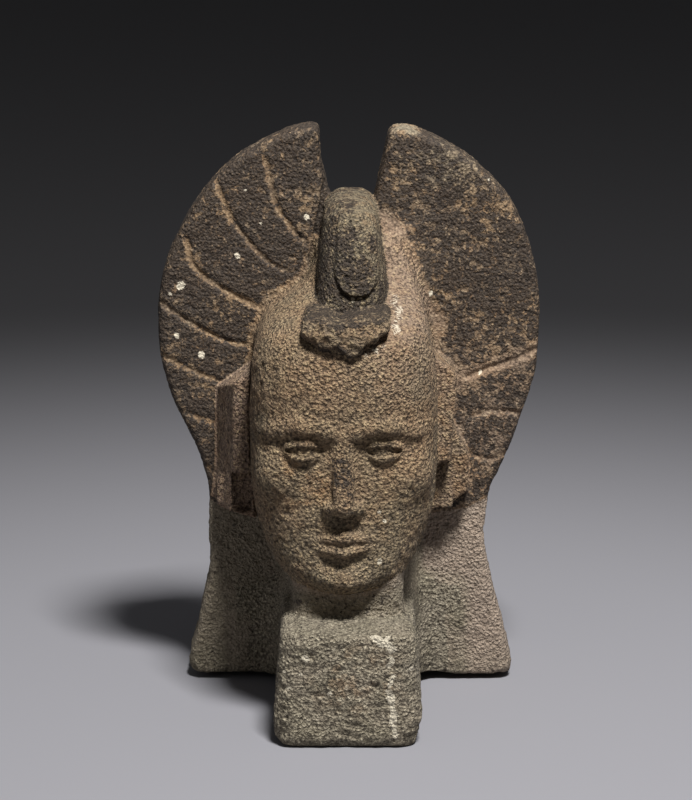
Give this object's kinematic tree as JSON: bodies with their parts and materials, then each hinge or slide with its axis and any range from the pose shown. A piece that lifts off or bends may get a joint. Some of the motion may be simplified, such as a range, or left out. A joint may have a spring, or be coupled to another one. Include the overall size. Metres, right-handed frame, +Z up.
{
  "type": "stone palma",
  "caption": "Upright carved stone with a rounded feathered fan split by a notch, a crested human head in the round before it, a projecting toe block and a flared foot on a shallow arch.",
  "frame": {"origin": "on the floor under the middle of the palma's overall width and depth", "axes": "+X to the right seen from the front, +Y towards the back (the face looks along -Y), +Z up"},
  "size_m": [0.2216, 0.1797, 0.3301],
  "materials": {
    "foot_stone": "vesicular basalt, pecked and weathered, warm brown-grey",
    "fan_stone": "vesicular basalt with a dark patina and pale sediment in its pores",
    "toe_stone": "vesicular basalt, open pores, grey-olive with lime spots",
    "head_stone": "vesicular basalt, ground smooth and pitted again by weather, tan-olive",
    "crest_stone": "vesicular basalt, handled and chipped, dark with tan wear"
  },
  "bodies": {
    "root": {"foot_slab": "foot_stone", "left_fan_lobe": "fan_stone", "right_fan_lobe": "fan_stone", "crest_spine": "fan_stone", "toe_block": "toe_stone", "neck": "foot_stone", "head": "head_stone", "crest_horn": "crest_stone", "horn_collar": "crest_stone", "left_ear_panel": "head_stone", "right_ear_panel": "head_stone"}
  },
  "joints": []
}
